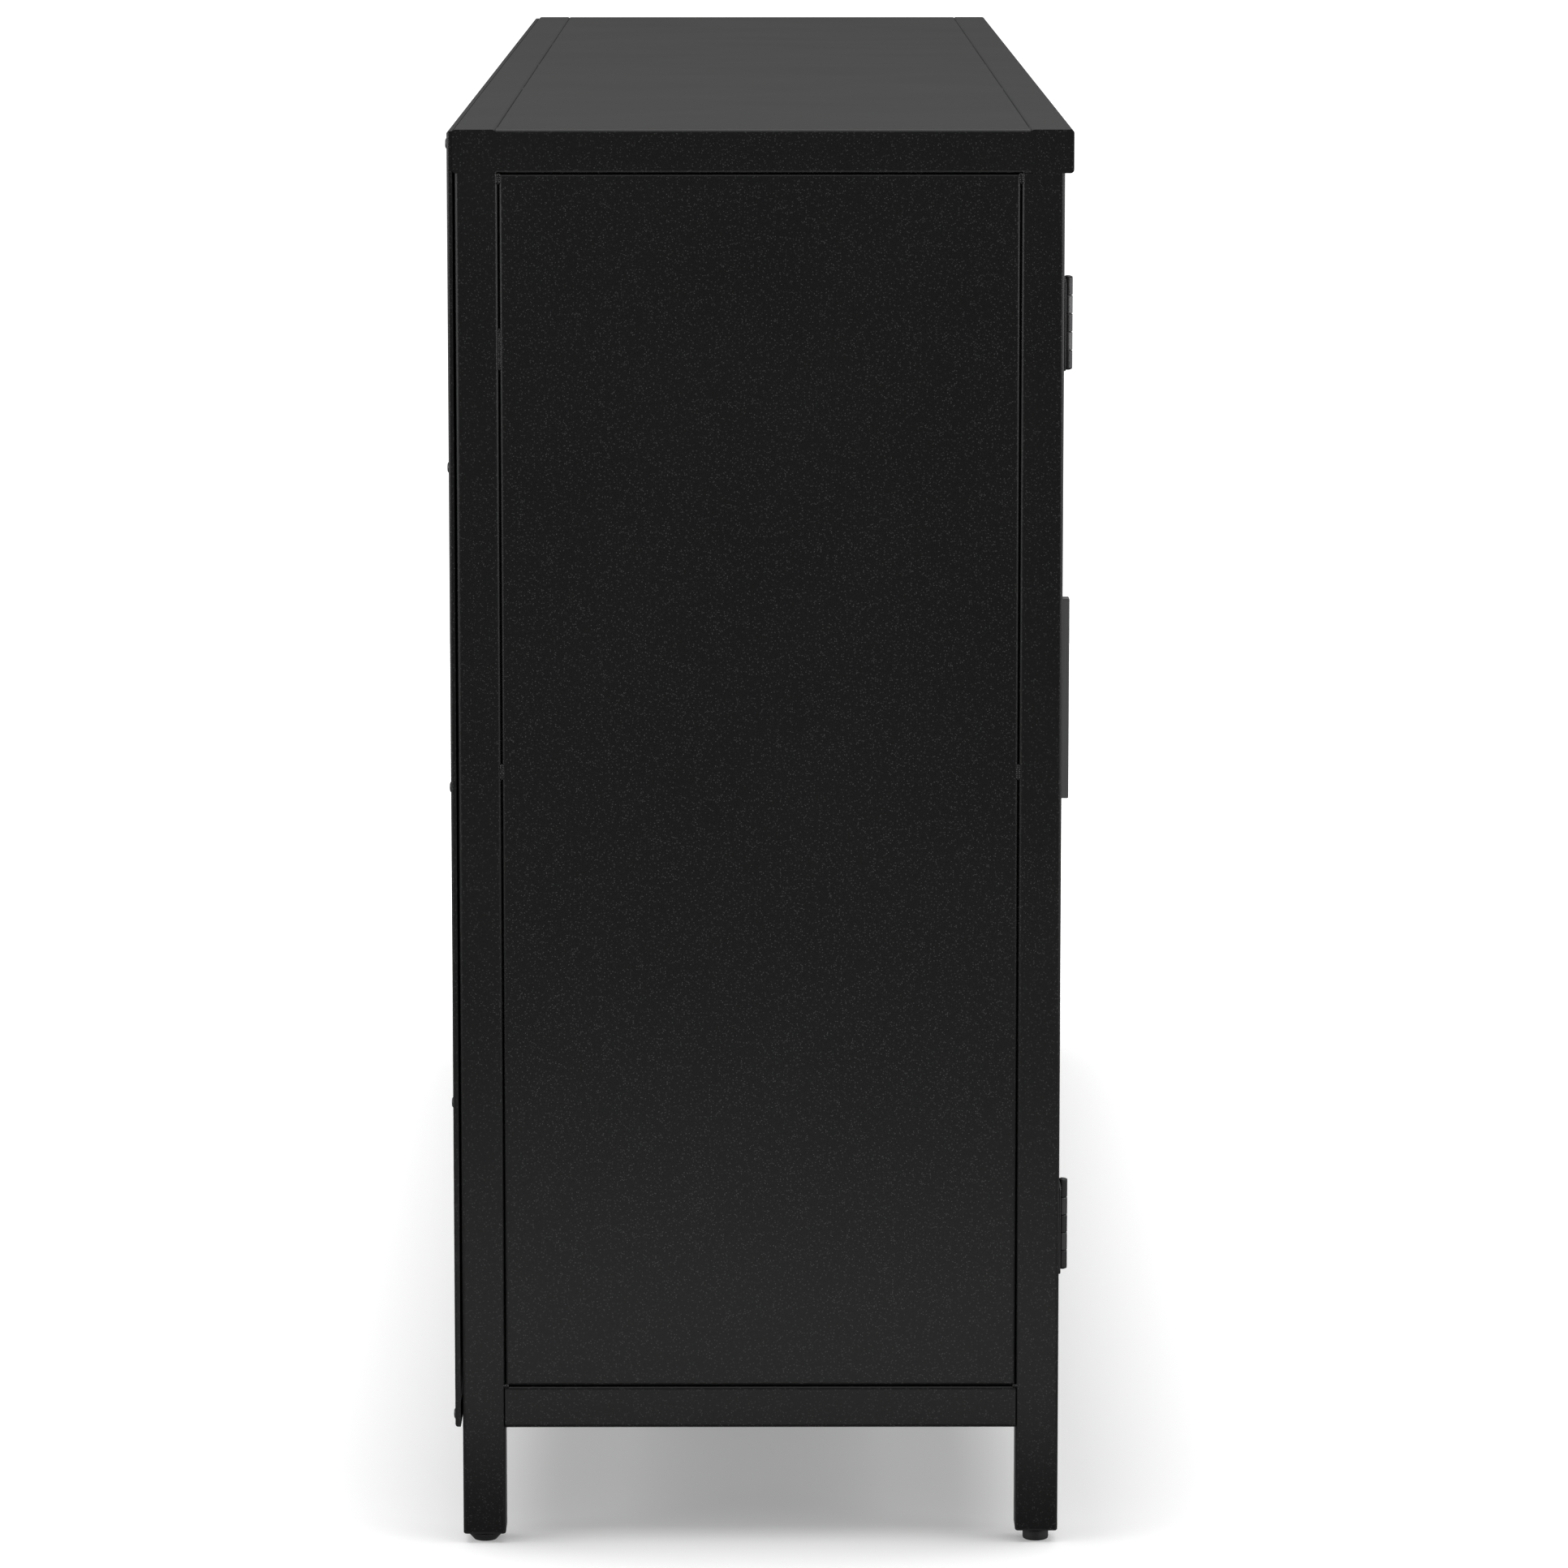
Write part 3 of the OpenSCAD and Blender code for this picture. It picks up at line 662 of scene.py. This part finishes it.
# Planes of the cabinet that the pieces are set out from
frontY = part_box("post_front_left")[0].y
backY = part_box("back_panel")[1].y
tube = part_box("post_front_left")[1].y - frontY
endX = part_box("post_front_left")[0].x
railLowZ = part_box("bottom_rail_left")[0].z
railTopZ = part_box("bottom_rail_left")[1].z
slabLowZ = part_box("top_rail_left")[0].z
topZ = cadHigh[2]
sheetThick = 0.0012
ends = {"Left": 1, "Right": -1}  # the right end is the left one mirrored

backScrewValues = {
    "lowZ": 0.077, "rowPitch": 0.1897, "rows": 5, "columns": 7, "inset": 0.0127,
    "across": 0.0062, "height": 0.0012, "seed": 11,
}


def makeBackScrews(values):
    firstX = endX + values["inset"]
    pitch = -2 * firstX / (values["columns"] - 1)
    points = []
    for row in range(values["rows"]):
        for column in range(values["columns"]):
            if row in (0, values["rows"] - 1) or column in (0, values["columns"] - 1):
                z = values["lowZ"] + row * values["rowPitch"]
                points.append(((firstX + column * pitch, backY, z), (0, 1, 0)))
    settings = evenSettings("panHead", values)
    repeatPiece("backScrews", pointTree, points, [], settings, "cabinet", "screw_metal", "back_panel_screws")


makeBackScrews(backScrewValues)
print("back screws set")

handleValues = {
    "length": 0.130, "width": 0.010, "reach": 0.0212, "bar": 0.007, "leg": 0.009, "bend": 0.001,
    "edge": 0.0003,
}
handleScrewValues = {"across": 0.008, "height": 0.0024, "seed": 5}


def handleOutline(values):
    length, reach, leg, bend = values["length"], values["reach"], values["leg"], values["bend"]
    inner, ceiling = bend / 2, reach - values["bar"]
    outline = [(0, 0)]
    outline += arcPoints((bend, reach - bend), bend, 180, 90, 8)
    outline += arcPoints((length - bend, reach - bend), bend, 90, 0, 8)
    outline += [(length, 0), (length - leg, 0)]
    outline += arcPoints((length - leg - inner, ceiling - inner), inner, 0, 90, 5)
    outline += arcPoints((leg + inner, ceiling - inner), inner, 90, 180, 5)
    return outline + [(leg, 0)]


def makeHandle(name, values, nodeName):
    low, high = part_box(nodeName)
    middle = (low + high) / 2
    half = values["length"] / 2
    upright = high.z - low.z > high.x - low.x
    if upright:
        along, across = Vector((0, 0, 1)), Vector((1, 0, 0))
    else:
        along, across = Vector((1, 0, 0)), Vector((0, 0, 1))
    centre = Vector((middle.x, frontY, middle.z))
    build = bmesh.new()
    start = centre - along * half - across * values["width"] / 2
    prism(build, handleOutline(values), values["width"], placed(start, along, (0, -1, 0), across))
    bar = newObject(name, meshFrom(name, build))
    smoothShade(bar.data)
    roundEdges(bar, values["edge"], 3)
    body = bodyOfNode[nodeName]
    mount(bar, body, "handle_metal", nodeName)
    inside = Vector((0, sheetThick, 0))
    reach = half - values["leg"] / 2
    points = [(centre + inside + along * side * reach, (0, 1, 0)) for side in (-1, 1)]
    settings = evenSettings("panHead", handleScrewValues)
    repeatPiece(name + "Screws", pointTree, points, [], settings, body, "screw_metal")


for endName in ends:
    makeHandle("door" + endName + "Handle", handleValues, "door_" + endName.lower() + "_handle")
for number in range(1, 5):
    makeHandle("drawer" + str(number) + "Handle", handleValues, "drawer_" + str(number) + "_handle")
print("handles made")

hingeValues = {
    "height": 0.054, "knuckles": 5, "knuckleGap": 0.0003, "barrel": 0.0029, "bore": 0.00155,
    "axisOut": 0.003, "leafWidth": 0.021, "leafThick": 0.0012, "corner": 0.003, "barrelGap": 0.0003,
    "middles": (0.190, 0.730), "pin": 0.0015, "pinHead": 0.0009, "edge": 0.00035,
}


def knuckleOutline(values):
    back, front = values["axisOut"], values["axisOut"] - values["leafThick"]
    strap = values["leafWidth"] / 2
    outline = [(strap, back)]
    outline += arcPoints((0, 0), values["barrel"], 90, 384, 26)  # rolled round the pin, almost closed
    outline += arcPoints((0, 0), values["bore"], 384, 90, 20)
    return outline + [(strap, front)]


def leafOutline(values):
    start, end = values["barrel"] + values["barrelGap"], values["leafWidth"]
    high, corner = values["height"], values["corner"]
    outline = [(start, 0)]
    outline += arcPoints((end - corner, corner), corner, -90, 0, 6)
    outline += arcPoints((end - corner, high - corner), corner, 0, 90, 6)
    return outline + [(start, high)]


def addLeaf(build, values, axis, side, first):
    pitch = values["height"] / values["knuckles"]
    gap = values["knuckleGap"]
    outwards = Vector((side, 0, 0))
    plate = placed(axis + Vector((0, values["axisOut"], 0)), outwards, (0, 0, 1), (0, -1, 0))
    prism(build, leafOutline(values), values["leafThick"], plate)
    for index in range(first, values["knuckles"], 2):
        start = axis + Vector((0, 0, index * pitch + gap / 2))
        prism(build, knuckleOutline(values), pitch - gap, placed(start, outwards, (0, 1, 0), (0, 0, 1)))


def makeHinges(values):
    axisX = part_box("hinge_pins")[1].x - values["barrel"]
    axisY = frontY - values["axisOut"]
    postLeaves, pins = bmesh.new(), bmesh.new()
    head, rim, high = values["pinHead"], values["barrel"], values["height"]
    domeShares = [(0, 1), (0.4, 0.86), (0.75, 0.48), (0.97, 0.1), (1, 0)]
    dome = [(rim * across, -head * down) for across, down in domeShares]
    pinOutline = dome + [(values["pin"], 0.0), (values["pin"], high)]
    pinOutline += [(radius, high - height) for radius, height in reversed(dome)]
    for endName, mirror in ends.items():
        doorLeaves = bmesh.new()
        for middle in values["middles"]:
            axis = Vector((-mirror * axisX, axisY, middle - high / 2))
            addLeaf(postLeaves, values, axis, -mirror, 1)
            addLeaf(doorLeaves, values, axis, mirror, 0)
            lathe(pins, pinOutline, 24, Matrix.Translation(axis))
        nodeName = "door_" + endName.lower() + "_hinge_leaves"
        leaves = newObject("door" + endName + "Leaves", meshFrom("doorLeaves", doorLeaves))
        smoothShade(leaves.data)
        roundEdges(leaves, values["edge"])
        mount(leaves, bodyOfNode[nodeName], "hinge_metal", nodeName)
    leaves = newObject("postLeaves", meshFrom("postLeaves", postLeaves))
    smoothShade(leaves.data)
    roundEdges(leaves, values["edge"])
    mount(leaves, "cabinet", "hinge_metal", "hinge_post_leaves")
    leaves.data.materials.append(finishes["worn_knuckle"])
    for face in leaves.data.polygons:  # painted sheen: the knuckles get a brighter copy of the hinge metal, standing in for the reflection they catch
        if abs(abs(face.center.x) - axisX) < values["barrel"]:
            face.material_index = 1
    pinPiece = newObject("hingePins", meshFrom("hingePins", pins))
    smoothShade(pinPiece.data)
    mount(pinPiece, "cabinet", "hinge_metal", "hinge_pins")


makeHinges(hingeValues)
print("hinges rolled")

footOutlines = {
    "front": [
        (0, 0), (0.0066, 0), (0.0073, 0.0003), (0.00765, 0.0009), (0.00775, 0.0016), (0.00775, 0.0058),
        (0.0076, 0.0064), (0.0071, 0.0068), (0.0063, 0.0069), (0.0054, 0.0069), (0.0052, 0.0072),
        (0.0040, 0.0073), (0.0040, 0.0316), (0.0036, 0.032), (0, 0.032),
    ],
    "back": [
        (0, 0), (0.0062, 0), (0.0068, 0.0002), (0.0072, 0.0007), (0.0104, 0.0042), (0.0106, 0.0047),
        (0.0105, 0.0050), (0.0101, 0.0052), (0.0060, 0.0052), (0.0055, 0.0055),
        (0.0040, 0.0056), (0.0040, 0.0316), (0.0036, 0.032), (0, 0.032),
    ],
}


def makeFeet(outlines):
    for row, outline in outlines.items():
        for endName in ends:
            nodeName = "foot_" + row + "_" + endName.lower()
            low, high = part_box(nodeName)
            build = bmesh.new()
            lathe(build, outline, 40, Matrix.Translation(((low.x + high.x) / 2, (low.y + high.y) / 2, 0)))
            foot = newObject("foot" + row.title() + endName, meshFrom(nodeName, build))
            smoothShade(foot.data, 50)
            mount(foot, bodyOfNode[nodeName], "foot_plastic", nodeName)


makeFeet(footOutlines)
print("feet turned")

roundedCopies = {  # how far each piece's cut edges are rounded, in metres
    "top_sheet_left": 0.0003, "top_sheet_right": 0.0003,
    "divider_panel_left": 0.0006, "divider_panel_right": 0.0006, "shelf_bearers": 0.0003,
    "magnet_catches": 0.0005, "runner_channels": 0.0003, "top_cross_bar": 0.0002,
}
for number in range(1, 5):
    roundedCopies["drawer_" + str(number) + "_box"] = 0.0004
    roundedCopies["drawer_" + str(number) + "_slides"] = 0.0003


def mergedCopy(nodeName):
    build = bmesh.new()
    build.from_mesh(cadNodes[nodeName].data)
    bmesh.ops.remove_doubles(build, verts=build.verts, dist=0.000001)
    bmesh.ops.dissolve_limit(build, angle_limit=math.radians(1), verts=build.verts, edges=build.edges)
    return build


def makeRoundedCopy(nodeName, width):
    build = mergedCopy(nodeName)
    words = nodeName.split("_")
    name = words[0] + "".join(word.title() for word in words[1:])
    mesh = bpy.data.meshes.new(name)
    build.to_mesh(mesh)
    build.free()
    piece = newObject(name, mesh)
    smoothShade(mesh)
    roundEdges(piece, width)
    mount(piece, bodyOfNode[nodeName], slotOfNode[nodeName], nodeName)


for nodeName, width in roundedCopies.items():
    makeRoundedCopy(nodeName, width)
print("cut edges rounded on", len(roundedCopies), "pieces")

plugValues = {"flange": 0.0012, "rimStart": 0.008, "rounding": 0.0011}


def makeLegPlugs(values):
    build = mergedCopy("leg_plugs")
    weights = build.edges.layers.float.new("bevel_weight_edge")
    for row in ("front", "back"):
        for endName in ("left", "right"):
            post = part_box("post_" + row + "_" + endName)
            middle = (post[0] + post[1]) / 2
            under = post[0].z - values["flange"]
            for edge in build.edges:  # the lower outside rim of each flange
                inRim = True
                for vert in edge.verts:
                    away = max(abs(vert.co.x - middle.x), abs(vert.co.y - middle.y))
                    inRim = inRim and abs(vert.co.z - under) < 0.00005 and values["rimStart"] < away < tube
                if inRim:
                    edge[weights] = 1
    mesh = bpy.data.meshes.new("legPlugs")
    build.to_mesh(mesh)
    build.free()
    plugs = newObject("legPlugs", mesh)
    smoothShade(mesh)
    bevel = plugs.modifiers.new("roundRim", "BEVEL")
    bevel.width = values["rounding"]
    bevel.segments = 4
    bevel.limit_method = "WEIGHT"
    mount(plugs, "cabinet", "foot_plastic", "leg_plugs")


makeLegPlugs(plugValues)
print("leg plugs rounded")

weldValues = {
    "tack": {"Across": 0.0026, "Height": 0.0016, "Spacing": 0.0011, "Spread": 0.22, "Seed": 3},
    "fillet": {"Across": 0.0019, "Height": 0.0014, "Spacing": 0.0006, "Spread": 0.12, "Seed": 4},
}
seamValues = {
    "middleZ": 0.467, "middleHalf": 0.0035, "sunk": 0.0006, "off": 0.0003,
    "headHigh": 0.0012, "headLow": 0.0050, "headSlant": 0.0004, "railHalf": 0.0006,
    "backLow": 0.705, "backHigh": 0.728, "backSunk": 0.0009,
}
jointValues = {
    "grooveSunk": 0.0008, "grooveEnd": 0.0016, "grooveUp": 0.0007,
    "legSunk": 0.0004, "legHalf": 0.008, "legUp": 0.0002, "innerEnd": 0.0045, "innerOff": 0.0005,
}
topSeamValues = {"places": (-0.33, 0.0, 0.33), "half": 0.004, "down": 0.0012}


def makeWelds(values, seams, joints, topSeams):
    beads = {"tack": ([], []), "fillet": ([], [])}

    def bead(kind, start, end, facing):
        points, edges = beads[kind]
        edges.append((len(points), len(points) + 1))
        points.append((start, facing))
        points.append((end, facing))

    panelSeams = (frontY + tube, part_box("post_back_left")[0].y)
    middleLow, middleHigh = seams["middleZ"] - seams["middleHalf"], seams["middleZ"] + seams["middleHalf"]
    headHigh, headLow = slabLowZ - seams["headHigh"], slabLowZ - seams["headLow"]
    grooveZ, under = slabLowZ + joints["grooveUp"], railLowZ + joints["legUp"]
    for mirror in ends.values():
        x, out = mirror * (endX + seams["sunk"]), (-mirror, 0, 0)
        for y, inwards in zip(panelSeams, (1, -1)):
            seam = y + inwards * seams["off"]
            bead("tack", (x, seam, middleLow), (x, seam, middleHigh), out)
            bead("tack", (x, seam, headHigh), (x, seam - inwards * seams["headSlant"], headLow), out)
            start, end = seam - seams["railHalf"], seam + seams["railHalf"]
            bead("tack", (x, start, railTopZ), (x, end, railTopZ), out)
        for row in ("front", "back"):
            low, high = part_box("post_" + row + "_left")
            innerY = high.y + joints["innerOff"] if row == "front" else low.y - joints["innerOff"]
            x = mirror * (endX + joints["grooveSunk"])
            start, end = low.y + joints["grooveEnd"], high.y - joints["grooveEnd"]
            bead("fillet", (x, start, grooveZ), (x, end, grooveZ), out)
            x, middleY = mirror * (endX + tube + joints["legSunk"]), (low.y + high.y) / 2
            start, end = middleY - joints["legHalf"], middleY + joints["legHalf"]
            bead("tack", (x, start, under), (x, end, under), (0, 0, -1))
            start = mirror * (endX + joints["innerEnd"])
            end = mirror * (endX + tube - joints["innerEnd"])
            bead("tack", (start, innerY, under), (end, innerY, under), (0, 0, -1))
    x, seam = endX + seams["backSunk"], panelSeams[1] - seams["off"]
    bead("fillet", (x, seam, seams["backLow"]), (x, seam, seams["backHigh"]), (-1, 0, 0))
    z = topZ - topSeams["down"]
    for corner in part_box("top_sheet_left"):
        for x in topSeams["places"]:
            start, end = x - topSeams["half"], x + topSeams["half"]
            bead("tack", (start, corner.y, z), (end, corner.y, z), (0, 0, 1))
    for kind, (points, edges) in beads.items():
        settings = dict(values[kind], Shape=shapes["bead"])
        repeatPiece(kind + "Welds", seamTree, points, edges, settings, "cabinet", "frame_paint")


makeWelds(weldValues, seamValues, jointValues, topSeamValues)
print("welds laid")

rivetValues = {
    "across": 0.006, "height": 0.0013, "seed": 7, "shares": (0.1, 0.5, 0.9),
    "channelWall": 0.0015, "boxWall": 0.001,
}
spotValues = {
    "across": 0.0052, "height": 0.00035, "seed": 9, "spread": 0.08,
    "fromEnds": 0.02, "flange": 0.0075, "backFlange": 0.0085, "doorLip": 0.0065,
}


def makeRunnerRivets(values):
    settings = evenSettings("rivet", values)
    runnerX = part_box("runner_channels")[0].x + values["channelWall"]
    fixed = []
    for number in range(1, 5):
        slideLow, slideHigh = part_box("drawer_" + str(number) + "_slides")
        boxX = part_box("drawer_" + str(number) + "_box")[0].x
        middleZ = (slideLow.z + slideHigh.z) / 2
        moving = []
        for mirror in (1, -1):
            for share in values["shares"]:
                y = slideLow.y + share * (slideHigh.y - slideLow.y)
                fixed.append(((mirror * runnerX, y, middleZ), (mirror, 0, 0)))
                outside, inside = boxX - values["channelWall"], boxX + values["boxWall"]
                moving.append(((mirror * outside, y, middleZ), (-mirror, 0, 0)))
                moving.append(((mirror * inside, y, middleZ), (mirror, 0, 0)))
        name = "drawer" + str(number) + "Rivets"
        repeatPiece(name, pointTree, moving, [], settings, "drawer_" + str(number), "runner_steel")
    repeatPiece("runnerRivets", pointTree, fixed, [], settings, "cabinet", "runner_steel")


def makeSpotWelds(values):
    settings = evenSettings("spot", values, values["spread"])
    for number in range(1, 5):
        low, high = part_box("drawer_" + str(number) + "_box")
        spots = []
        margin = values["fromEnds"]
        for mirror in (1, -1):
            x = mirror * (low.x + values["flange"])
            for z in (low.z + margin, (low.z + high.z) / 2, high.z - margin):
                spots.append(((x, low.y + rivetValues["boxWall"], z), (0, 1, 0)))
                spots.append(((x, high.y, z), (0, 1, 0)))
                spots.append(((mirror * low.x, high.y - values["backFlange"], z), (-mirror, 0, 0)))
        name = "drawer" + str(number) + "Spots"
        repeatPiece(name, pointTree, spots, [], settings, "drawer_" + str(number), "panel_paint")
    doorLow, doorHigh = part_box("door_left")
    for endName, mirror in ends.items():
        spots = []
        lip = values["doorLip"]
        for x in (doorLow.x + lip, doorHigh.x - lip):
            for z in (doorLow.z + lip, doorHigh.z - lip):
                spots.append(((mirror * x, doorHigh.y, z), (0, 1, 0)))
        body = "door_" + endName.lower()
        repeatPiece("door" + endName + "Spots", pointTree, spots, [], settings, body, "panel_paint")


makeRunnerRivets(rivetValues)
makeSpotWelds(spotValues)
for shape in shapes.values():
    bpy.data.objects.remove(shape)
print("rivets and spot welds set")
